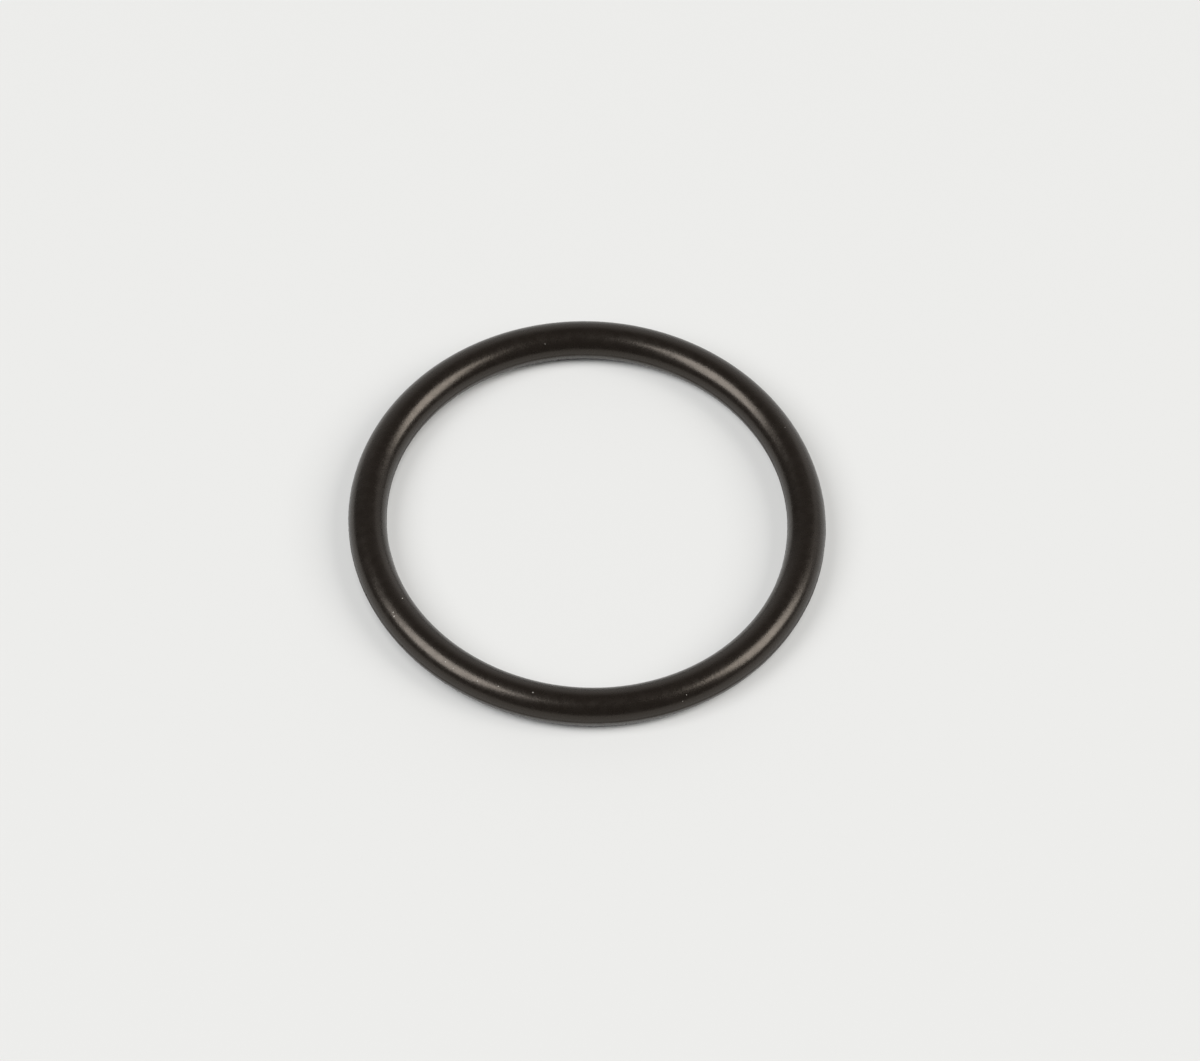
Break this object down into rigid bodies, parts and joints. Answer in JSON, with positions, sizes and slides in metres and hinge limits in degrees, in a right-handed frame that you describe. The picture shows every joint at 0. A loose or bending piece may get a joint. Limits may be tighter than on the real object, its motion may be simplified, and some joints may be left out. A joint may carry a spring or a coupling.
{
  "type": "rubber o-ring",
  "caption": "Black moulded rubber o-ring: a round cord closed into a plain ring, with a fine trimmed parting line inside and out. Seals a shaft, a bore or a cover.",
  "frame": {"origin": "centre of the ring, on its axis and halfway up its cord, in the plane of the parting line", "axes": "+Z along the ring's axis, upwards as it lies flat; +X and +Y lie in the ring's plane, and +Y points away from the picture's camera"},
  "size_m": [0.0226, 0.0224, 0.0018],
  "materials": {
    "rubber": "satin black moulded rubber"
  },
  "bodies": {
    "root": {"o_ring": "rubber"}
  },
  "joints": []
}
